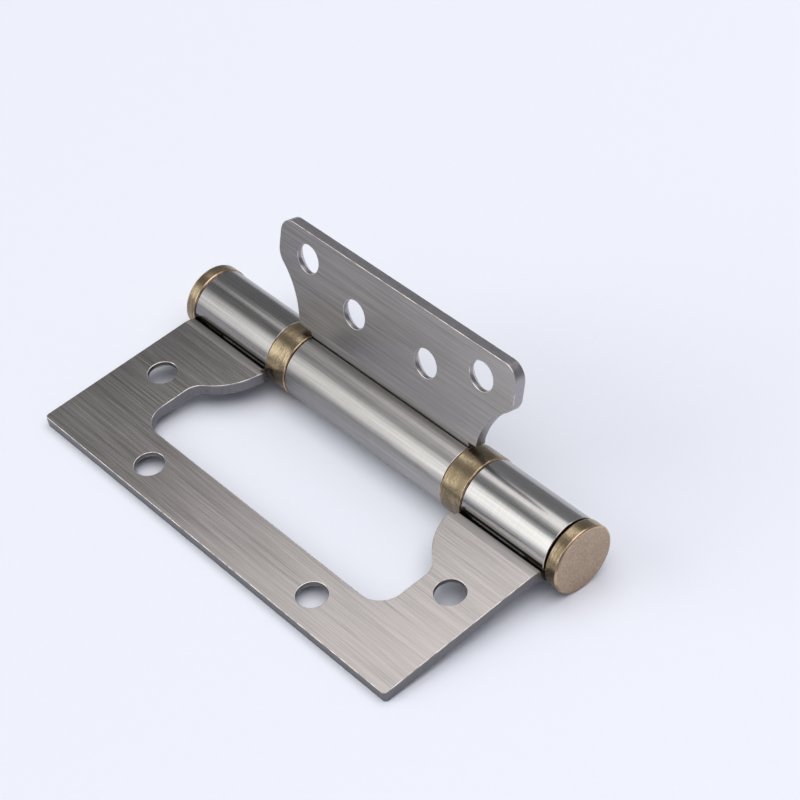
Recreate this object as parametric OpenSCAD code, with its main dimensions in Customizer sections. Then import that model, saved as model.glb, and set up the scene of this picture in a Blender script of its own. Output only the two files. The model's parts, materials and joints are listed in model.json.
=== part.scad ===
// Flush hinge: two folded sheet leaves on one pin, two ball bearings and two end caps.
// The hinge is drawn on its pin axis, which is the Y axis, and then laid on the floor as it rests.
// Both leaves are drawn alike: u runs from the pin axis out along the plate, and v is the side
// of the plate on which the rolled knuckle closes.

/* [Leaves] */
// Length of the hinge along the pin, without the end caps
leaf_length = 100; // [80:1:120]
// Thickness of the sheet
leaf_thickness = 2.4; // [2:0.1:2.8]
// Reach of the outer leaf, from the pin axis to its long edge
outer_reach = 45; // [36:0.5:55]
// Rounding of the outer leaf's corners
outer_corner_r = 0.8; // [0.5:0.1:3]
// Rounding of the inner leaf's top corners
inner_corner_r = 3.5; // [2:0.1:4.5]
// Angle between the leaves as the hinge stands, 0 when nested and 180 when flat open
open_angle = 106; // [80:1:150]

/* [Window] */
// Width of the outer leaf beyond each end of the window
side_strip = 15.1; // [12:0.1:18]
// Width of the outer leaf's rail, beyond the window's long side
rail_width = 12.1; // [10:0.1:16]
// Gap between the inner leaf's side and the window, when nested
window_side_gap = 2.3; // [1:0.1:3]
// Gap between the inner leaf's long edge and the window, when nested
window_end_gap = 3.4; // [1:0.1:4]
// Rounding of the window's far corners
window_corner_r = 5; // [3:0.5:8]
// Radius of the rounded ears that carry the outer knuckles
ear_r = 14; // [12:0.5:15]
// Gap between an ear's rounding and the line of the window's long side
ear_end_gap = 11.9; // [8:0.1:14]
// How far an ear stands beside its bearing ring
ear_lap = 1.1; // [0:0.1:3]
// Gap between the ear and the inner leaf's neck, when nested
neck_gap = 2; // [1:0.1:3]
// Rounding where an ear runs into the window's end, and the neck into the inner leaf's side
ear_corner_r = 4; // [1:0.5:6]

/* [Screw holes] */
// Radius of a screw hole
hole_r = 3; // [2:0.1:3.2]
// Straight depth of a screw hole before its countersink
hole_land = 1; // [0.5:0.1:1.4]
// Ear hole, from the line of the window's long side
ear_hole_back = 11.1; // [7:0.1:15]
// Ear hole, from the window's end
ear_hole_in = 6.9; // [6:0.1:8]
// Rail hole, from the window's end
rail_hole_in = 11; // [6:0.1:20]
// Lower hole of the inner leaf, from its long edge
low_hole_back = 10.9; // [8:0.1:13]
// Lower hole's distance from the middle, as a share of the upper hole's
low_hole_share = 0.415; // [0.3:0.005:0.5]
// Upper hole of the inner leaf, from its long edge
high_hole_back = 5.8; // [5:0.1:8]
// Upper hole of the inner leaf, from its side
high_hole_in = 8.5; // [8:0.1:12]

/* [Barrel] */
// Outer radius of a rolled knuckle
knuckle_r = 6.9; // [6.2:0.1:7.2]
// Length of an outer knuckle, as it is with the barrel in the middle of the leaf
outer_length = 21.9; // [18:0.1:26]
// How far the barrel's parts sit off the middle of the leaf
barrel_shift = -0.6; // [-1:0.1:1]
// Radius of the bend that leads the plate into its knuckle, on the sheet's inner side
bend_r = 4.8; // [3.5:0.1:6]
// Slit where an outer knuckle closes on its plate
outer_seam = 0.5; // [0.2:0.1:1]
// Slit where the middle knuckle closes on its plate
inner_seam = 0.2; // [0.2:0.1:1]
// Gap round a bearing ring where a plate stands beside it
relief = 1.3; // [0.8:0.1:1.6]

/* [Bearings] */
// Width of a bearing along the pin
bearing_width = 5.6; // [5:0.1:6]
// End gap on each side of a bearing
end_play = 0.1; // [0.05:0.01:0.2]
// How far the bearing rings and end caps stand proud of the knuckles
trim_proud = 0.2; // [0.1:0.05:0.4]
// Wall of a bearing shell
shell_wall = 0.5; // [0.4:0.05:0.7]
// Rounding of the rims of a bearing shell
shell_edge_r = 0.35; // [0.1:0.05:0.4]
// Diameter of a ball
ball_d = 1.9; // [1.6:0.1:1.9]
// Depth of the groove that a ball runs in
groove_depth = 0.3; // [0.1:0.05:0.5]
// Clearance between a ball and its groove
ball_fit = 0.02; // [0.01:0.01:0.05]
// Clearance round a bearing race
race_fit = 0.06; // [0.04:0.01:0.1]

/* [Pin and caps] */
// Clearance round the pin in the knuckles
pin_fit = 0.04; // [0.02:0.01:0.08]
// Bevel of the pin's ends
pin_bevel = 0.8; // [0.3:0.1:1.2]
// Thickness of an end cap's head
cap_thickness = 2.8; // [2:0.1:4]
// Rounding of an end cap's face edge
cap_edge_r = 0.4; // [0.2:0.1:1]
// Length of the plug behind an end cap's head
plug_length = 6; // [4:0.5:10]
// Clearance round an end cap's plug
plug_fit = 0.02; // [0.01:0.01:0.04]
// Gap behind the left end cap's head
left_cap_gap = 0.1; // [0:0.05:0.5]
// Gap behind the right end cap's head, which isn't driven home
right_cap_gap = 0.5; // [0:0.05:1]

/* [Hidden] */
half_length = leaf_length / 2;
half_sheet = leaf_thickness / 2;
// How far a cut runs past the face that it goes through
past = 1;
// How far an arc crosses the line that it runs into, so that they don't merely touch
cross = 0.01;
// Overlap of the plate and its bend
lap = 0.2;

// Barrel radii
bore_r = knuckle_r - leaf_thickness;
pin_r = bore_r - pin_fit;
trim_r = knuckle_r + trim_proud;

relief_u = trim_r + relief;

// Places along the barrel, measured from its middle
outer_start = half_length - outer_length;
bearing_end = outer_start - end_play;
bearing_start = bearing_end - bearing_width;
middle_end = bearing_start - end_play;

// Window in the outer leaf, and the inner leaf that lies in it when nested
window_reach = outer_reach - rail_width;
window_half = half_length - side_strip;
inner_reach = window_reach - window_end_gap;
inner_half = window_half - window_side_gap;

// Ears of the outer leaf, each beside the inner leaf's neck
ear_centre_u = window_reach - ear_end_gap - ear_r;
ear_centre_y = outer_start - ear_lap + ear_r;
neck_r = ear_r + neck_gap;

// Centre of the S-bend that leads a plate into its knuckle
bend_distance = knuckle_r + bend_r;
s_bend_u = sqrt(pow(bend_distance, 2) - pow(bend_r + half_sheet, 2));
s_bend_v = cross - bend_r - half_sheet;
top_bend_r = bend_r + leaf_thickness;

// Angle at the barrel's surface where the plate's face runs in under the end of the roll
foot_angle = acos((pow(knuckle_r, 2) + pow(bend_distance, 2) - pow(top_bend_r, 2))
    / (2 * knuckle_r * bend_distance)) + atan(s_bend_v / s_bend_u);

// Screw hole places
ear_hole_u = window_reach - ear_hole_back;
ear_hole_y = window_half + ear_hole_in;
rail_hole_u = window_reach + rail_width / 2;
rail_hole_y = window_half - rail_hole_in;
high_hole_u = inner_reach - high_hole_back;
high_hole_y = inner_half - high_hole_in;
low_hole_u = inner_reach - low_hole_back;
low_hole_y = low_hole_share * high_hole_y;
sink_depth = leaf_thickness - hole_land;

// Bearing pieces
shell_bore_r = trim_r - shell_wall;
race_bore_r = pin_r + race_fit;
race_r = shell_bore_r - race_fit;
pitch_r = (race_bore_r + race_r) / 2;
ball_r = ball_d / 2;
race_gap = ball_d + 2 * ball_fit - 2 * groove_depth;
race_thickness = (bearing_width - shell_wall - race_gap) / 2;
ball_y = bearing_start + race_thickness + race_gap / 2;
ball_count = floor(180 / asin((ball_r + ball_fit) / pitch_r));

// Pin ends, each just clear of an end cap's plug
left_pin_end = half_length - plug_length + left_cap_gap - end_play;
right_pin_end = half_length - plug_length + right_cap_gap - end_play;

// The hinge lies on its end caps, its bearing rings and the outer leaf's long edge
rest_tilt = asin(trim_r / norm([outer_reach, half_sheet])) - atan(half_sheet / outer_reach);
inner_lean = open_angle - 90;
stand_lean = inner_lean - rest_tilt;
low_x = -outer_reach * cos(rest_tilt) - half_sheet * sin(rest_tilt);
high_x = max(trim_r, inner_reach * sin(stand_lean) + half_sheet * cos(stand_lean));
rest_x = -(low_x + high_x) / 2;
rest_y = (right_cap_gap - left_cap_gap) / 2;

// Colours
steel = [0.66, 0.65, 0.63];
bronze = [0.55, 0.45, 0.32];
bright = [0.78, 0.78, 0.80];

// Lays the hinge on the floor, with its origin under the middle of its box
module at_rest() {
    translate([rest_x, rest_y, trim_r]) rotate([0, -rest_tilt, 0]) children();
}

// Turns a leaf's own frame so that its plate points along -X and its seam is on top
module as_outer() {
    mirror([1, 0, 0]) children();
}

// Turns a leaf's own frame so that its plate stands up and its seam faces -X
module as_inner() {
    rotate([0, inner_lean - 90, 0]) children();
}

// Sets children that run up from z = 0 onto the pin axis, from y outward
module along_pin(y) {
    translate([0, y, 0]) rotate([-90, 0, 0]) children();
}

// The left bearing and cap are drawn; side = -1 gives the right ones
module on_side(side) {
    mirror([0, side < 0 ? 1 : 0, 0]) children();
}

// What lies between a square corner, at the origin, and its rounding
module corner(r) {
    difference() {
        translate([-past, -past]) square(r + past);
        translate([r, r]) circle(r + cross, $fn = 64);
    }
}

// Disc round the centre of the S-bend
module bend_disc(r) {
    translate([s_bend_u, s_bend_v]) circle(r, $fn = 128);
}

// Side view of a leaf: plate, S-bend and knuckle, in one thickness of sheet
module leaf_profile(reach, seam) {
    roll_end = foot_angle + seam / knuckle_r * 180 / PI;
    difference() {
        union() {
            // Knuckle, open where the plate runs in under the end of the roll
            difference() {
                circle(knuckle_r, $fn = 128);
                difference() {
                    polygon([[0, 0], [s_bend_u, s_bend_v], [s_bend_u, 0],
                        bend_distance * [cos(roll_end), sin(roll_end)]]);
                    bend_disc(top_bend_r);
                }
            }
            // S-bend
            intersection() {
                bend_disc(top_bend_r);
                polygon([[0, 0], [s_bend_u, s_bend_v], [s_bend_u, half_sheet], [0, half_sheet]]);
            }
            // Plate
            translate([s_bend_u - lap, -half_sheet]) square([reach - s_bend_u + lap, leaf_thickness]);
        }
        circle(bore_r, $fn = 128);
        bend_disc(bend_r);
    }
}

// A leaf cut from its side view by its plan
module folded_sheet(reach, seam) {
    intersection() {
        rotate([90, 0, 0]) linear_extrude(leaf_length + 2 * past, center = true) leaf_profile(reach, seam);
        linear_extrude(4 * knuckle_r, center = true) children();
    }
}

// Screw hole, straight on the seam side and countersunk on the other
module screw_hole(u, y) {
    translate([u, y, 0]) cylinder(h = leaf_thickness + 2 * past, r = hole_r, center = true, $fn = 64);
    translate([u, y, -half_sheet - past])
        cylinder(h = sink_depth + past, r1 = hole_r + sink_depth + past, r2 = hole_r, $fn = 64);
}

// One ear of the outer leaf, or with a larger radius the room that the inner leaf's neck leaves for it,
// rounded where it meets the straight side at y = side
module ear_plan(r, side) {
    corner_y = side - ear_corner_r;
    corner_u = ear_centre_u + sqrt(pow(r + ear_corner_r, 2) - pow(ear_centre_y - corner_y, 2));
    translate([ear_centre_u, ear_centre_y]) circle(r, $fn = 128);
    translate([-past, ear_centre_y - r]) square([ear_centre_u + past, 2 * r]);
    difference() {
        polygon([[ear_centre_u, ear_centre_y], [corner_u, corner_y], [corner_u, side + past]]);
        translate([corner_u, corner_y]) circle(ear_corner_r + cross, $fn = 64);
    }
}

// Opening of the outer leaf, with the gap in its barrel
module window_plan() {
    difference() {
        translate([0, -window_half]) square([window_reach, 2 * window_half]);
        for (side = [-1, 1]) {
            mirror([0, side < 0 ? 1 : 0]) {
                ear_plan(ear_r, window_half);
                translate([window_reach, window_half]) rotate(180) corner(window_corner_r);
            }
        }
    }
    translate([-knuckle_r - 2 * past, -outer_start]) square([knuckle_r + 2 * past + relief_u, 2 * outer_start]);
}

// Plan of the outer leaf
module outer_plan() {
    difference() {
        translate([-knuckle_r - past, -half_length]) square([knuckle_r + past + outer_reach, leaf_length]);
        translate([0, barrel_shift]) window_plan();
        for (side = [-1, 1]) {
            mirror([0, side < 0 ? 1 : 0])
                translate([outer_reach, half_length]) rotate(180) corner(outer_corner_r);
        }
    }
}

// Plan of the inner leaf, with its neck clear of the ears
module inner_plan() {
    difference() {
        translate([relief_u, -inner_half]) square([inner_reach - relief_u, 2 * inner_half]);
        for (side = [-1, 1]) {
            mirror([0, side < 0 ? 1 : 0]) {
                ear_plan(neck_r, inner_half);
                translate([inner_reach, inner_half]) rotate(180) corner(inner_corner_r);
            }
        }
    }
    translate([-knuckle_r - past, barrel_shift - middle_end])
        square([knuckle_r + 2 * past + relief_u, 2 * middle_end]);
}

module outer_leaf() {
    color(steel) at_rest() as_outer() difference() {
        folded_sheet(outer_reach, outer_seam) outer_plan();
        for (side = [-1, 1]) {
            screw_hole(ear_hole_u, side * ear_hole_y);
            screw_hole(rail_hole_u, side * rail_hole_y);
        }
    }
}

module inner_leaf() {
    color(steel) at_rest() as_inner() difference() {
        folded_sheet(inner_reach, inner_seam) inner_plan();
        for (side = [-1, 1]) {
            screw_hole(low_hole_u, side * low_hole_y);
            screw_hole(high_hole_u, side * high_hole_y);
        }
    }
}

// Straight rod with bevelled ends
module hinge_pin() {
    length = left_pin_end + right_pin_end;
    color(bright) at_rest() along_pin(-right_pin_end) rotate_extrude($fn = 96) polygon([
        [0, 0], [pin_r - pin_bevel, 0], [pin_r, pin_bevel],
        [pin_r, length - pin_bevel], [pin_r - pin_bevel, length], [0, length],
    ]);
}

// End cap: a rounded head on a plug that fits the knuckle's bore
module end_cap(side, gap) {
    color(bronze) at_rest() on_side(side) along_pin(half_length + gap) rotate_extrude($fn = 96) {
        difference() {
            square([trim_r, cap_thickness]);
            translate([trim_r, cap_thickness]) rotate(180) corner(cap_edge_r);
        }
        translate([0, -plug_length]) square([bore_r - plug_fit, plug_length + cap_thickness / 2]);
    }
}

module left_end_cap() {
    end_cap(1, left_cap_gap);
}

module right_end_cap() {
    end_cap(-1, right_cap_gap);
}

// Places one piece of a bearing, which starts at y from the barrel's middle
module in_bearing(side, y) {
    at_rest() translate([0, barrel_shift, 0]) on_side(side) along_pin(y) children();
}

// Drawn cup round a bearing, closed towards the outer knuckle
module bearing_shell(side) {
    color(bronze) in_bearing(side, bearing_start) rotate_extrude($fn = 96) difference() {
        translate([race_bore_r, 0]) square([trim_r - race_bore_r, bearing_width]);
        translate([race_bore_r - past, -past]) square([shell_bore_r - race_bore_r + past,
            bearing_width - shell_wall + past]);
        translate([trim_r, 0]) rotate(90) corner(shell_edge_r);
        translate([trim_r, bearing_width]) rotate(180) corner(shell_edge_r);
    }
}

module left_bearing_shell() {
    bearing_shell(1);
}

module right_bearing_shell() {
    bearing_shell(-1);
}

// Grooved washer that the balls run on
module race(side, y) {
    color(bright) difference() {
        in_bearing(side, y) rotate_extrude($fn = 96)
            translate([race_bore_r, 0]) square([race_r - race_bore_r, race_thickness]);
        in_bearing(side, ball_y) rotate_extrude($fn = 96)
            translate([pitch_r, 0]) circle(ball_r + ball_fit, $fn = 48);
    }
}

module left_outer_race() {
    race(1, bearing_end - shell_wall - race_thickness);
}

module right_outer_race() {
    race(-1, bearing_end - shell_wall - race_thickness);
}

module left_inner_race() {
    race(1, bearing_start);
}

module right_inner_race() {
    race(-1, bearing_start);
}

// Full ring of loose balls
module ball_set(side) {
    color(bright) in_bearing(side, ball_y)
        for (i = [0:ball_count - 1]) {
            rotate(i * 360 / ball_count) translate([pitch_r, 0, 0]) sphere(ball_r, $fn = 20);
        }
}

module left_ball_set() {
    ball_set(1);
}

module right_ball_set() {
    ball_set(-1);
}

outer_leaf();
inner_leaf();
hinge_pin();
left_end_cap();
right_end_cap();
left_bearing_shell();
left_outer_race();
left_inner_race();
left_ball_set();
right_bearing_shell();
right_outer_race();
right_inner_race();
right_ball_set();
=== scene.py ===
"""A flush hinge in brushed steel with antique brass bearing rings and end caps, on a pale studio floor."""
from __future__ import annotations

import json
import logging
import math
from dataclasses import dataclass
from enum import Enum, IntEnum
from typing import Any, Callable

import bpy
from mathutils import Matrix, Vector


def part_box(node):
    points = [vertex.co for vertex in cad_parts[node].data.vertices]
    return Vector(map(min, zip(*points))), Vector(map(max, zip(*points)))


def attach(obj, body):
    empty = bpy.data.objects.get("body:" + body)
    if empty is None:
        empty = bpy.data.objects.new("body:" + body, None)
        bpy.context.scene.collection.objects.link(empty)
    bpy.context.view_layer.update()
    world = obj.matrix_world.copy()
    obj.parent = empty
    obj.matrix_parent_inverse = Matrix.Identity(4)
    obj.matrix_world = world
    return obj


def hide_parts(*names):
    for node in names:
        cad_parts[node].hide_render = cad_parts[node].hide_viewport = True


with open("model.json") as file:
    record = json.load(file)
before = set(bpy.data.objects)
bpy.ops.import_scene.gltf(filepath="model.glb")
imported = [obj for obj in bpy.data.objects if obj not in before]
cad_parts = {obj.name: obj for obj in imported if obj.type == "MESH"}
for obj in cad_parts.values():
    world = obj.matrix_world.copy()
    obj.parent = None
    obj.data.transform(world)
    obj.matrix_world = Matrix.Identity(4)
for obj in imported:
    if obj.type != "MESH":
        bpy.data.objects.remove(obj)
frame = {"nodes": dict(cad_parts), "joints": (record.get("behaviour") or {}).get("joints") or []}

LOG = logging.getLogger("flush_hinge")
MM = 0.001
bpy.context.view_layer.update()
PIN_X = frame["joints"][0]["pos_m"][0]
PIN_Z = frame["joints"][0]["pos_m"][2]
KNUCKLE_R = 6.9 * MM
HALF_SHEET = 1.2 * MM
# Reach from the pin within which the outer leaf's bend and rims get the painted shadow of the slit.
SLIT_SHADOW_REACH = 7.5 * MM
SHARP_FROM = 40.0
OUTER_FACE = Vector((-0.131342, 0.0, 0.991337))
INNER_FACE = Vector((-0.989137, 0.0, 0.146995))
MIX_FIRST = 6
MIX_SECOND = 7
MIX_RESULT = 2
Colour = tuple[float, float, float]
Span = tuple[float, float]


# Shader maths

class Value:
    """A number on a shader socket; sums and products of it add Math nodes."""

    def __init__(self, graph: Graph, socket: bpy.types.NodeSocket) -> None:
        """Wraps a socket.

        Args:
            graph: The graph that the socket is in.
            socket: The output socket.
        """
        self.graph = graph
        self.socket = socket

    def _math(self, operation: str, *terms: Value | float) -> Value:
        """Adds one Math node.

        Args:
            operation: The node's operation.
            terms: Its inputs, in order.

        Returns:
            The node's result.
        """
        sockets = dict(enumerate(terms))
        return self.graph.add("ShaderNodeMath", {"operation": operation}, sockets).value()

    def __add__(self, other: Value | float) -> Value:
        """Sum."""
        return self._math("ADD", self, other)

    def __radd__(self, other: float) -> Value:
        """Sum, with the number first."""
        return self._math("ADD", other, self)

    def __sub__(self, other: Value | float) -> Value:
        """Difference."""
        return self._math("SUBTRACT", self, other)

    def __rsub__(self, other: float) -> Value:
        """Difference, with the number first."""
        return self._math("SUBTRACT", other, self)

    def __mul__(self, other: Value | float) -> Value:
        """Product."""
        return self._math("MULTIPLY", self, other)

    def __rmul__(self, other: float) -> Value:
        """Product, with the number first."""
        return self._math("MULTIPLY", other, self)

    def turn_from(self, other: Value) -> Value:
        """The angle of the point (other, self) from the x axis.

        Args:
            other: The point's x, this value being its y.

        Returns:
            The angle in radians.
        """
        return self._math("ARCTAN2", self, other)

    def smooth(self, low: float, high: float) -> Value:
        """A soft step of this value.

        Args:
            low: Where the step leaves 0.
            high: Where it reaches 1.

        Returns:
            The step, from 0 to 1.
        """
        sockets = {"Value": self, "From Min": low, "From Max": high}
        settings = {"interpolation_type": "SMOOTHSTEP"}
        return self.graph.add("ShaderNodeMapRange", settings, sockets).value("Result")


class Made:
    """A node that has just been added, with short ways to its outputs."""

    def __init__(self, graph: Graph, node: bpy.types.Node) -> None:
        """Wraps a node.

        Args:
            graph: The graph that the node is in.
            node: The node.
        """
        self.graph = graph
        self.node = node

    def out(self, name: str | int = 0) -> bpy.types.NodeSocket:
        """An output socket.

        Args:
            name: Its name or number.

        Returns:
            The socket.
        """
        return self.node.outputs[name]

    def value(self, name: str | int = 0) -> Value:
        """An output as a number to calculate with.

        Args:
            name: Its name or number.

        Returns:
            The output's value.
        """
        return Value(self.graph, self.node.outputs[name])


class Graph:
    """A node tree that is written as Python expressions."""

    def __init__(self, tree: bpy.types.NodeTree) -> None:
        """Empties the tree.

        Args:
            tree: The node tree of a material or world.
        """
        self.tree = tree
        self.tree.nodes.clear()

    def add(self, kind: str, settings: dict[str, Any] | None = None,
            sockets: dict[str | int, Any] | None = None) -> Made:
        """Adds one node.

        Args:
            kind: The node's type.
            settings: Its own settings, which are set first.
            sockets: The value or link of each input.

        Returns:
            The node.
        """
        node = self.tree.nodes.new(kind)
        for name, setting in (settings or {}).items():
            setattr(node, name, setting)
        for name, content in (sockets or {}).items():
            if isinstance(content, Value):
                content = content.socket
            if isinstance(content, bpy.types.NodeSocket):
                self.tree.links.new(content, node.inputs[name])
            else:
                node.inputs[name].default_value = content
        return Made(self, node)

    def noise(self, where: bpy.types.NodeSocket, scale: Colour, detail: float, seed: float = 0.0) -> Value:
        """Noise on stretched coordinates.

        Args:
            where: The coordinates.
            scale: Grains per metre along x, y and z.
            detail: How many finer layers it has.
            seed: Shifts the pattern, so that two of them differ.

        Returns:
            The noise, from 0 to 1 and mostly near 0.5.
        """
        settings = {"vector_type": "POINT"}
        sockets = {"Vector": where, "Location": (seed, seed, seed), "Scale": scale}
        place = self.add("ShaderNodeMapping", settings, sockets).out()
        sockets = {"Vector": place, "Scale": 1.0, "Detail": detail, "Roughness": 0.6}
        return self.add("ShaderNodeTexNoise", {"noise_dimensions": "3D"}, sockets).value()

    def blend(self, factor: Value, first: Any, second: Any) -> bpy.types.NodeSocket:
        """A mix of two colours.

        Args:
            factor: 0 for the first colour, 1 for the second.
            first: A colour or a colour socket.
            second: A colour or a colour socket.

        Returns:
            The mixed colour.
        """
        colours = [(*c, 1.0) if isinstance(c, tuple) else c for c in (first, second)]
        sockets = {"Factor": factor, MIX_FIRST: colours[0], MIX_SECOND: colours[1]}
        return self.add("ShaderNodeMix", {"data_type": "RGBA"}, sockets).out(MIX_RESULT)

    def scaled(self, colour: Colour, factor: Value) -> bpy.types.NodeSocket:
        """A colour made lighter or darker.

        Args:
            colour: The colour.
            factor: What it is multiplied by.

        Returns:
            The scaled colour.
        """
        sockets = {0: colour, "Scale": factor}
        return self.add("ShaderNodeVectorMath", {"operation": "SCALE"}, sockets).out()

    def bump(self, height: Value, depth: float, strength: float) -> bpy.types.NodeSocket:
        """A normal for small relief.

        Args:
            height: The relief, from 0 to 1.
            depth: Its depth in metres.
            strength: How much of it shows.

        Returns:
            The normal.
        """
        sockets = {"Height": height, "Distance": depth, "Strength": strength}
        return self.add("ShaderNodeBump", None, sockets).out()

    def metal(self, colour: bpy.types.NodeSocket, roughness: Value, normal: bpy.types.NodeSocket,
              metallic: float = 1.0) -> None:
        """Ends the graph in metal.

        Args:
            colour: The metal's colour.
            roughness: Its roughness.
            normal: Its relief.
            metallic: How bare the metal is; a film of grease and dust lowers it.
        """
        sockets = {"Base Color": colour, "Metallic": metallic, "Roughness": roughness, "Normal": normal}
        shader = self.add("ShaderNodeBsdfPrincipled", None, sockets).out()
        self.add("ShaderNodeOutputMaterial", None, {"Surface": shader})


class Finish:
    """A finish that is made into a material the first time it is used."""

    name: str

    def material(self) -> bpy.types.Material:
        """The finish's material, made once."""
        found = bpy.data.materials.get(self.name)
        if found:
            return found
        material = bpy.data.materials.new(self.name)
        material.use_nodes = True
        graph = Graph(material.node_tree)
        where = graph.add("ShaderNodeTexCoord").out("Object")
        self.paint(graph, where)
        return material

    def paint(self, graph: Graph, where: bpy.types.NodeSocket) -> None:
        """Fills the material's graph.

        Args:
            graph: The empty graph.
            where: The piece's own coordinates, in metres.
        """
        raise NotImplementedError


@dataclass(frozen=True)
class BrushedSteel(Finish):
    """Steel sheet with brush lines along the pin; its y slope is painted light, how much lighter it gets
    per metre of y.
    """

    name: str
    tone: Colour
    roughness: float
    streaks: float
    # Painted light: the tone's change per metre of y, standing in for the light falling off along the pin.
    painted_light_slope: float
    cross_grain: float = 0.0
    relief: float = 0.5
    bareness: float = 1.0

    def paint(self, graph: Graph, where: bpy.types.NodeSocket) -> None:
        """Fills the material's graph.

        Args:
            graph: The empty graph.
            where: The piece's own coordinates, in metres.
        """
        fine = graph.noise(where, (2600.0, 55.0, 2600.0), 3.0)
        broad = graph.noise(where, (1300.0, 30.0, 1300.0), 2.0, 3.0)
        cloud = graph.noise(where, (55.0, 40.0, 55.0), 2.0, 7.0)
        across = graph.noise(where, (160.0, 2400.0, 160.0), 2.0, 11.0)
        scratch = graph.noise(where, (3600.0, 40.0, 3600.0), 1.0, 17.0).smooth(0.64, 0.74)
        along = graph.add("ShaderNodeSeparateXYZ", None, {0: where}).value("Y")
        shade = 1.0 + (fine - 0.5) * self.streaks + (broad - 0.5) * (0.45 * self.streaks)
        # Painted light: the tone slopes along y as the light falls off along the pin.
        shade = shade + along * self.painted_light_slope + (cloud - 0.5) * 0.12
        shade = shade + (across - 0.5) * self.cross_grain - scratch * 0.14
        rough = self.roughness + (fine - 0.5) * 0.12 + (cloud - 0.5) * 0.06
        height = fine * 0.7 + broad * 0.4 + across * self.cross_grain - scratch * 0.3
        normal = graph.bump(height, 0.03 * MM, self.relief)
        graph.metal(graph.scaled(self.tone, shade), rough, normal, self.bareness)


@dataclass(frozen=True)
class CutEdge(Finish):
    """The sheet's cut edge, smeared by the punch, with the brush lines worn off; its tone carries painted
    light and shade, and near black it is the painted shadow in the slit.
    """

    name: str
    tone: Colour

    def paint(self, graph: Graph, where: bpy.types.NodeSocket) -> None:
        """Fills the material's graph.

        Args:
            graph: The empty graph.
            where: The piece's own coordinates, in metres.
        """
        smear = graph.noise(where, (1500.0, 1500.0, 260.0), 3.0, 2.0)
        pits = graph.noise(where, (900.0, 900.0, 900.0), 3.0, 5.0)
        shade = 0.86 + smear * 0.35 - pits.smooth(0.58, 0.7) * 0.18
        rough = 0.36 + (smear - 0.5) * 0.24
        height = smear * 0.6 + pits * 0.5
        graph.metal(graph.scaled(self.tone, shade), rough, graph.bump(height, 0.04 * MM, 0.35))


@dataclass(frozen=True)
class WornRim(Finish):
    """A rim that handling has rubbed bright, made lighter still as a painted highlight on the rounded edge.
    """

    name: str
    tone: Colour
    dull: Colour
    roughness: float = 0.24

    def paint(self, graph: Graph, where: bpy.types.NodeSocket) -> None:
        """Fills the material's graph.

        Args:
            graph: The empty graph.
            where: The piece's own coordinates, in metres.
        """
        wear = graph.noise(where, (420.0, 420.0, 420.0), 3.0, 4.0).smooth(0.36, 0.6)
        grain = graph.noise(where, (2200.0, 2200.0, 2200.0), 2.0, 9.0)
        colour = graph.blend(wear, self.dull, self.tone)
        rough = self.roughness + (grain - 0.5) * 0.12 + (1.0 - wear) * 0.1
        graph.metal(colour, rough, graph.bump(grain, 0.02 * MM, 0.2))


@dataclass(frozen=True)
class AntiqueBrass(Finish):
    """Brass with a brown patina that is rubbed through in patches."""

    name: str
    rubbed: Colour
    patina: Colour
    roughness: float
    patch: float
    speckle: float

    def paint(self, graph: Graph, where: bpy.types.NodeSocket) -> None:
        """Fills the material's graph.

        Args:
            graph: The empty graph.
            where: The piece's own coordinates, in metres.
        """
        patches = graph.noise(where, (self.patch, self.patch, self.patch), 4.0, 6.0)
        lines = graph.noise(where, (190.0, 2900.0, 190.0), 2.0, 8.0)
        specks = graph.noise(where, (3400.0, 3400.0, 3400.0), 2.0, 12.0)
        rub = (patches + (lines - 0.5) * 0.35 + (specks - 0.5) * self.speckle).smooth(0.34, 0.66)
        colour = graph.blend(rub, self.patina, self.rubbed)
        rough = self.roughness + (1.0 - rub) * 0.14 + (specks - 0.5) * 0.12
        height = lines * 0.4 + specks * 0.5 + patches * 0.3
        graph.metal(colour, rough, graph.bump(height, 0.03 * MM, 0.3))


@dataclass(frozen=True)
class GroundSteel(Finish):
    """Ground and polished bearing steel."""

    name: str
    tone: Colour
    roughness: float

    def paint(self, graph: Graph, where: bpy.types.NodeSocket) -> None:
        """Fills the material's graph.

        Args:
            graph: The empty graph.
            where: The piece's own coordinates, in metres.
        """
        rings = graph.noise(where, (120.0, 3800.0, 120.0), 2.0, 3.0)
        haze = graph.noise(where, (500.0, 500.0, 500.0), 2.0, 5.0)
        shade = 0.93 + (rings - 0.5) * 0.12 + (haze - 0.5) * 0.1
        rough = self.roughness + (rings - 0.5) * 0.06
        graph.metal(graph.scaled(self.tone, shade), rough, graph.bump(rings, 0.01 * MM, 0.15))


# Each brushed steel below carries its own painted light gradient along y.
PLATE_STEEL = BrushedSteel(
    "plate_steel", (0.308, 0.291, 0.285), roughness=0.19, streaks=0.85, painted_light_slope=-2.0)
LIFTED_STEEL = BrushedSteel(
    "lifted_plate_steel", (0.325, 0.311, 0.303), roughness=0.3, streaks=0.85, painted_light_slope=-8.5)
SATIN_KNUCKLE = BrushedSteel(
    "satin_knuckle_steel", (0.345, 0.335, 0.328), roughness=0.33, streaks=0.8, painted_light_slope=-6.0, cross_grain=0.1,
    relief=0.6)
BRIGHT_KNUCKLE = BrushedSteel(
    "bright_knuckle_steel", (0.33, 0.325, 0.32), roughness=0.19, streaks=0.5, painted_light_slope=-4.2, cross_grain=0.16,
    relief=0.2)
BEND_STEEL = BrushedSteel(
    "bend_steel", (0.305, 0.29, 0.284), roughness=0.42, streaks=0.85, painted_light_slope=-7.0, bareness=0.35)
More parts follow.
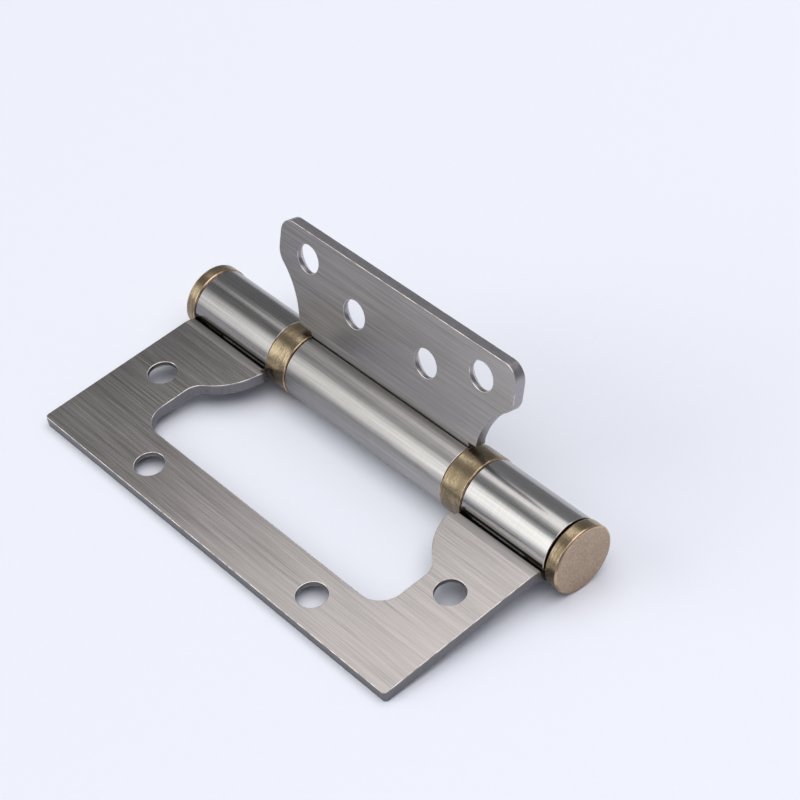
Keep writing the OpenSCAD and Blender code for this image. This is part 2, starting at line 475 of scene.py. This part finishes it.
# Painted light and shade: one cut steel, toned darker on the outer leaf and lighter on the inner leaf.
SHADED_CUT_STEEL = CutEdge("shaded_cut_steel", (0.19, 0.184, 0.194))
LIT_CUT_STEEL = CutEdge("lit_cut_steel", (0.36, 0.347, 0.362))
# Painted shadow: a near-black finish for the faces in and beside the slit where the roll closes on the
# plate.
SLIT_SHADOW_STEEL = CutEdge("seam_steel", (0.03, 0.028, 0.027))
# Worn steel rim, its light tone partly a painted highlight along the rounded edges.
WORN_STEEL_RIM_AND_GLINT = WornRim("worn_steel_rim_and_glint", (0.72, 0.67, 0.61), (0.4, 0.375, 0.36))
RING_BRASS = AntiqueBrass(
    "ring_brass", (0.345, 0.28, 0.185), (0.18, 0.138, 0.088), roughness=0.2, patch=210.0, speckle=0.5)
CAP_BRASS = AntiqueBrass(
    "cap_brass", (0.53, 0.41, 0.312), (0.44, 0.34, 0.255), roughness=0.5, patch=2600.0, speckle=0.9)
# Worn brass rim, its light tone partly a painted highlight along the rounded edges.
WORN_BRASS_RIM_AND_GLINT = WornRim("worn_brass_rim_and_glint", (0.56, 0.41, 0.27), (0.28, 0.205, 0.14))
PIN_STEEL = GroundSteel("ground_pin_steel", (0.62, 0.61, 0.6), 0.22)
BEARING_STEEL = GroundSteel("ground_bearing_steel", (0.72, 0.73, 0.75), 0.12)


# Modelling by hand

class Bench:
    """Blender's own tools, each used on one piece at a time."""

    @staticmethod
    def pick(piece: bpy.types.Object) -> None:
        """Makes a piece the only selected one.

        Args:
            piece: The piece.
        """
        bpy.ops.object.select_all(action="DESELECT")
        piece.select_set(True)
        bpy.context.view_layer.objects.active = piece

    @staticmethod
    def edit(select: str = "FACE") -> None:
        """Opens the active piece in edit mode, with nothing selected.

        Args:
            select: What is selected there, faces or vertices.
        """
        bpy.ops.object.mode_set(mode="EDIT")
        bpy.ops.mesh.select_mode(type=select)
        bpy.ops.mesh.select_all(action="DESELECT")

    @staticmethod
    def close() -> None:
        """Goes back to object mode."""
        bpy.ops.object.mode_set(mode="OBJECT")

    @classmethod
    def faces(cls, piece: bpy.types.Object, wanted: Callable[[bpy.types.MeshPolygon], bool]) -> None:
        """Selects the faces that a test wants, in edit mode.

        Args:
            piece: The piece that is being edited.
            wanted: The test for a face.
        """
        bpy.ops.mesh.select_all(action="DESELECT")
        cls.close()
        for face in piece.data.polygons:
            face.select = wanted(face)
        bpy.ops.object.mode_set(mode="EDIT")

    @classmethod
    def shade(cls, piece: bpy.types.Object) -> None:
        """Shades a piece smooth up to the sharp edges' angle, with flat faces kept flat.

        Args:
            piece: The finished mesh.
        """
        cls.pick(piece)
        bpy.ops.object.shade_smooth_by_angle(angle=math.radians(SHARP_FROM))
        modifier = piece.modifiers.new("flat_faces", "WEIGHTED_NORMAL")
        modifier.keep_sharp = True
        bpy.ops.object.modifier_apply(modifier=modifier.name)

    @classmethod
    def bevel(cls, piece: bpy.types.Object, width: float, segments: int, angle: float, slot: int) -> None:
        """Rounds a piece's sharp edges.

        Args:
            piece: The piece.
            width: The rounding's width in metres.
            segments: The faces across the rounding.
            angle: The angle in degrees from which an edge is rounded.
            slot: The material slot of the new faces.
        """
        cls.pick(piece)
        modifier = piece.modifiers.new("worn_edges", "BEVEL")
        modifier.width = width
        modifier.segments = segments
        modifier.limit_method = "ANGLE"
        modifier.angle_limit = math.radians(angle)
        modifier.use_clamp_overlap = False
        modifier.material = slot
        bpy.ops.object.modifier_apply(modifier=modifier.name)


def in_place(piece: bpy.types.Object, body: str, slot: str, *nodes: str) -> None:
    """Hands a finished piece to the frame.

    Args:
        piece: The piece, with its place in its mesh.
        body: The body that it moves with.
        slot: The record's material slot of its finish; not used.
        nodes: The CAD nodes that it stands for.
    """
    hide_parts(*nodes)
    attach(piece, body)
    LOG.info("%s: %d faces", piece.name, len(piece.data.polygons))


def turned_blank(name: str, radius: float, start: float, end: float) -> bpy.types.Object:
    """A disc on the pin's axis, as the blank of a turned piece.

    Args:
        name: The piece's name.
        radius: Its radius.
        start: Its lower end along the pin.
        end: Its upper end along the pin.

    Returns:
        The blank, with its place in its mesh.
    """
    bpy.ops.object.select_all(action="DESELECT")
    bpy.ops.mesh.primitive_cylinder_add(
        vertices=96, radius=radius, depth=end - start, end_fill_type="NGON",
        location=(PIN_X, (start + end) / 2, PIN_Z), rotation=(math.pi / 2, 0.0, 0.0))
    piece = bpy.context.object
    piece.name = name
    bpy.ops.object.transform_apply(location=True, rotation=True, scale=True)
    return piece


class Side(Enum):
    """The two ends of the barrel, by the way along the pin."""

    LEFT = 1
    RIGHT = -1

    @property
    def word(self) -> str:
        """The side's name in the CAD nodes."""
        return self.name.lower()


class Skin(IntEnum):
    """The material slots of a leaf."""

    PLATE = 0
    KNUCKLE = 1
    CUT = 2
    # Painted shadow in and beside the slit.
    SEAM = 3
    RIM = 4
    BEND = 5


@dataclass
class Leaf:
    """One folded sheet: a brushed plate, a rolled knuckle, cut edges, rims rubbed bright and lightened as a
    painted highlight, and a painted shadow in and beside the slit.
    """

    node: str
    body: str
    face: Vector
    plate: Finish
    knuckle: Finish
    cut: Finish
    # Reach from the pin within which rims and bend faces get the painted slit shadow, 0 for none; the roll
    # gets it up to the shadow height above the plate.
    slit_shadow_reach: float = 0.0
    shadow_height: float = 2.05 * MM
    plate_height: float = 1.5 * MM
    rolled_reach: float = 10.4 * MM
    bend_reach: float = 15.0 * MM
    rim: float = 0.13 * MM
    weld: float = 0.03 * MM
    flat_within: float = 0.8

    def build(self) -> None:
        """Makes the leaf from its CAD solid and dresses it."""
        piece = self._copy()
        self._clean(piece)
        for finish in (self.plate, self.knuckle, self.cut, SLIT_SHADOW_STEEL, WORN_STEEL_RIM_AND_GLINT, BEND_STEEL):
            piece.data.materials.append(finish.material())
        Bench.bevel(piece, self.rim, segments=2, angle=35.0, slot=Skin.RIM)
        self._paint(piece)
        Bench.shade(piece)
        in_place(piece, self.body, "leaf_steel", self.node)

    def _copy(self) -> bpy.types.Object:
        """A copy of the CAD node's mesh on an object of its own."""
        mesh = frame["nodes"][self.node].data.copy()
        mesh.materials.clear()
        piece = bpy.data.objects.new(f"{self.node}_sheet", mesh)
        bpy.context.scene.collection.objects.link(piece)
        return piece

    def _clean(self, piece: bpy.types.Object) -> None:
        """Joins the loose triangles and clears the flat faces of their diagonals.

        Args:
            piece: The copied mesh.
        """
        Bench.pick(piece)
        Bench.edit("VERT")
        bpy.ops.mesh.select_all(action="SELECT")
        bpy.ops.mesh.remove_doubles(threshold=self.weld)
        bpy.ops.mesh.dissolve_limited(angle_limit=math.radians(self.flat_within))
        Bench.close()

    def _by_the_slit(self, offset: Vector) -> bool:
        """Whether a place on the roll is next to the slit where it closes on the plate.

        Args:
            offset: The place from the pin's axis.

        Returns:
            True for the last bit of the roll.
        """
        out_along_plate = Vector((-self.face.z, 0.0, self.face.x))
        over_plate = offset.dot(out_along_plate) > 0.0
        return over_plate and HALF_SHEET < offset.dot(self.face) < self.shadow_height

    def _skin(self, face: bpy.types.MeshPolygon) -> Skin:
        """The slot of one face, by where it is and how it faces.

        Args:
            face: The face, which is in the rim's slot if the bevel made it.

        Returns:
            Its slot.
        """
        offset = Vector((face.center.x - PIN_X, 0.0, face.center.z - PIN_Z))
        reach = offset.length
        on_roll = reach < KNUCKLE_R + self.rim
        sideways = abs(face.normal.y)
        along = sideways < 0.5
        likeness = face.normal.dot(self.face)
        in_slit = on_roll and along and abs(face.normal.dot(offset)) < 0.3 * reach
        tilted = 0.6 < likeness < 0.9995
        # Painted shadow: the roll's cut end in the slit, and on the outer leaf the rims close to it, are
        # painted near black.
        if in_slit or (face.material_index == Skin.RIM and reach < self.slit_shadow_reach and sideways < 0.1):
            return Skin.SEAM
        if face.material_index == Skin.RIM:
            return Skin.RIM
        # Painted shadow: the strip of roll just over the slit.
        if self.slit_shadow_reach and on_roll and along and self._by_the_slit(offset):
            return Skin.SEAM
        # Painted shadow on the bend faces nearest the slit; the rest of the bend gets the bend steel.
        if tilted and not on_roll and reach < self.bend_reach:
            return Skin.SEAM if reach < self.slit_shadow_reach else Skin.BEND
        if abs(likeness) > 0.95 and abs(offset.dot(self.face)) < self.plate_height:
            return Skin.PLATE
        return Skin.KNUCKLE if reach < self.rolled_reach and along else Skin.CUT

    def _paint(self, piece: bpy.types.Object) -> None:
        """Gives each face its finish.

        Args:
            piece: The bevelled sheet.
        """
        for face in piece.data.polygons:
            face.material_index = self._skin(face)


@dataclass
class BearingRing:
    """The drawn brass cup round one bearing, closed towards the outer knuckle."""

    side: Side
    wall: float = 0.5 * MM
    bore: float = 4.52 * MM
    rim: float = 0.35 * MM

    def build(self) -> None:
        """Draws the cup from a disc, opens its bore and rounds its rims."""
        node = f"{self.side.word}_bearing_shell"
        low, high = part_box(node)
        piece = turned_blank(f"{node}_cup", (high.z - low.z) / 2, low.y, high.y)
        away = self.side.value
        Bench.edit()
        Bench.faces(piece, lambda face: face.normal.y * away < -0.9)
        bpy.ops.mesh.inset(thickness=self.wall)
        depth = high.y - low.y - self.wall
        bpy.ops.mesh.extrude_region_move(TRANSFORM_OT_translate={"value": (0.0, away * depth, 0.0)})
        bpy.ops.mesh.inset(thickness=(high.z - low.z) / 2 - self.wall - self.bore)
        bpy.ops.mesh.extrude_region_move(TRANSFORM_OT_translate={"value": (0.0, away * self.wall / 2, 0.0)})
        Bench.close()
        for finish in (RING_BRASS, WORN_BRASS_RIM_AND_GLINT):
            piece.data.materials.append(finish.material())
        Bench.bevel(piece, self.rim, segments=4, angle=60.0, slot=1)
        Bench.shade(piece)
        in_place(piece, "outer", "bronze_ring", node)


@dataclass
class EndCap:
    """The turned brass cap that closes one end of the barrel."""

    side: Side
    head: float = 2.8 * MM
    plug_r: float = 4.48 * MM
    edge: float = 0.4 * MM

    def build(self) -> None:
        """Turns the head and its plug and rounds the face's edge."""
        node = f"{self.side.word}_end_cap"
        low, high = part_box(node)
        radius = (high.z - low.z) / 2
        outward = self.side.value
        tip = high.y if outward > 0 else low.y
        seat = tip - outward * self.head
        plug = (high.y - low.y) - self.head
        piece = turned_blank(f"{node}_turned", radius, min(tip, seat), max(tip, seat))
        Bench.edit()
        Bench.faces(piece, lambda face: face.normal.y * outward < -0.9)
        bpy.ops.mesh.inset(thickness=radius - self.plug_r)
        bpy.ops.mesh.extrude_region_move(TRANSFORM_OT_translate={"value": (0.0, -outward * plug, 0.0)})
        Bench.close()
        for finish in (RING_BRASS, CAP_BRASS, WORN_BRASS_RIM_AND_GLINT):
            piece.data.materials.append(finish.material())
        Bench.bevel(piece, self.edge, segments=5, angle=60.0, slot=2)
        for face in piece.data.polygons:
            if face.normal.y * outward > 0.99:
                face.material_index = 1
        Bench.shade(piece)
        in_place(piece, "outer", "bronze_cap", node)


@dataclass
class Inside:
    """The pin, races and balls, which keep their CAD solids and get their own steel."""

    pin: str = "hinge_pin"
    races: tuple[str, ...] = ("outer_race", "inner_race", "ball_set")

    def build(self) -> None:
        """Dresses each hidden steel piece."""
        self._dress(self.pin, PIN_STEEL)
        for side in Side:
            for race in self.races:
                self._dress(f"{side.word}_{race}", BEARING_STEEL)

    @staticmethod
    def _dress(node: str, finish: Finish) -> None:
        """Puts a finish on a CAD node.

        Args:
            node: The node's name.
            finish: Its finish.
        """
        materials = frame["nodes"][node].data.materials
        materials.clear()
        materials.append(finish.material())
        LOG.info("%s: %s", node, finish.name)


def sines(span: Span) -> Span:
    """The heights on a unit sphere of two angles.

    Args:
        span: The angles above the horizon, in degrees.

    Returns:
        Their sines.
    """
    low, high = span
    return math.sin(math.radians(low)), math.sin(math.radians(high))


@dataclass
class Studio:
    """A pale floor, a soft ceiling over dimmer walls with a soft light on one, and the camera.

    The spans are in degrees, from where each change sets in to where it is full. The ceiling and the
    box's foot and head are heights above the floor. The lift, where the ceiling's edge rises, and the
    box's start and end are ways round from the x axis.
    """

    floor_size: float = 8.0
    floor_colour: Colour = (0.9, 0.925, 0.995)
    overhead: Colour = (1.9, 1.86, 1.85)
    far_wall: Colour = (0.3, 0.305, 0.32)
    near_wall: Colour = (0.25, 0.26, 0.3)
    box_light: Colour = (2.4, 2.4, 2.37)
    ceiling: Span = (48.5, 52.5)
    lift: Span = (86.0, 98.0)
    lift_height: float = 0.09
    box_start: Span = (106.0, 148.0)
    box_end: Span = (164.0, 178.0)
    box_foot: Span = (-14.0, 15.0)
    box_head: Span = (37.0, 48.0)

    def build(self) -> None:
        """Sets the floor, the light and the camera."""
        self._floor()
        self._world()
        self._camera()
        bpy.context.scene.view_settings.view_transform = "Standard"

    def _floor(self) -> None:
        """Lays the floor under the hinge."""
        bpy.ops.object.select_all(action="DESELECT")
        bpy.ops.mesh.primitive_plane_add(size=self.floor_size, location=(0.0, 0.0, 0.0))
        floor = bpy.context.object
        floor.name = "floor"
        material = bpy.data.materials.new("floor_paper")
        material.use_nodes = True
        graph = Graph(material.node_tree)
        where = graph.add("ShaderNodeTexCoord").out("Object")
        tooth = graph.noise(where, (900.0, 900.0, 900.0), 2.0)
        colour = graph.scaled(self.floor_colour, 0.995 + (tooth - 0.5) * 0.02)
        shader = graph.add("ShaderNodeBsdfDiffuse", None, {"Color": colour, "Roughness": 0.5}).out()
        graph.add("ShaderNodeOutputMaterial", None, {"Surface": shader})
        floor.data.materials.append(material)

    def _world(self) -> None:
        """Makes the ceiling, the dimmer walls and the soft light that runs down the barrel."""
        world = bpy.data.worlds.new("studio_sky")
        bpy.context.scene.world = world
        world.use_nodes = True
        graph = Graph(world.node_tree)
        way = graph.add("ShaderNodeTexCoord").out("Generated")
        split = graph.add("ShaderNodeSeparateXYZ", None, {0: way})
        height = split.value("Z")
        around = split.value("Y").turn_from(split.value("X")) * math.degrees(1.0)
        near = (0.0 - split.value("Y")).smooth(-0.1, 0.5)
        lifted = around.smooth(*self.lift) * self.lift_height
        above = (height - lifted).smooth(*sines(self.ceiling))
        span = around.smooth(*self.box_start) * (1.0 - around.smooth(*self.box_end))
        rise = height.smooth(*sines(self.box_foot))
        fall = 1.0 - height.smooth(*sines(self.box_head))
        walls = graph.blend(near, self.far_wall, self.near_wall)
        sides = graph.blend(span * rise * fall, walls, self.box_light)
        colour = graph.blend(above, sides, self.overhead)
        shader = graph.add("ShaderNodeBackground", None, {"Color": colour, "Strength": 1.0}).out()
        graph.add("ShaderNodeOutputWorld", None, {"Surface": shader})

    @staticmethod
    def _camera() -> None:
        """Sets the camera where the photograph was taken from."""
        right = Vector((0.74342, -0.66868, -0.01361))
        up = Vector((0.43814, 0.47153, 0.76531))
        forward = Vector((0.50533, 0.57491, -0.64352))
        turn = Matrix((right, up, -forward)).transposed()
        lens = bpy.data.cameras.new("camera")
        lens.lens = 101.86
        lens.sensor_width = 36.0
        lens.clip_start = 0.01
        lens.clip_end = 50.0
        place = Vector((-196.926, -249.778, 289.150)) * MM
        camera = bpy.data.objects.new("camera", lens)
        camera.matrix_world = Matrix.LocRotScale(place, turn.to_quaternion(), None)
        bpy.context.scene.collection.objects.link(camera)
        bpy.context.scene.camera = camera


def main() -> None:
    """Builds the hinge and its studio."""
    logging.basicConfig(level=logging.INFO, format="%(name)s: %(message)s")
    Leaf("outer_leaf", "outer", OUTER_FACE, PLATE_STEEL, BRIGHT_KNUCKLE, SHADED_CUT_STEEL, SLIT_SHADOW_REACH).build()
    Leaf("inner_leaf", "inner", INNER_FACE, LIFTED_STEEL, SATIN_KNUCKLE, LIT_CUT_STEEL).build()
    for side in Side:
        BearingRing(side).build()
        EndCap(side).build()
    Inside().build()
    Studio().build()


if __name__ == "__main__":
    main()
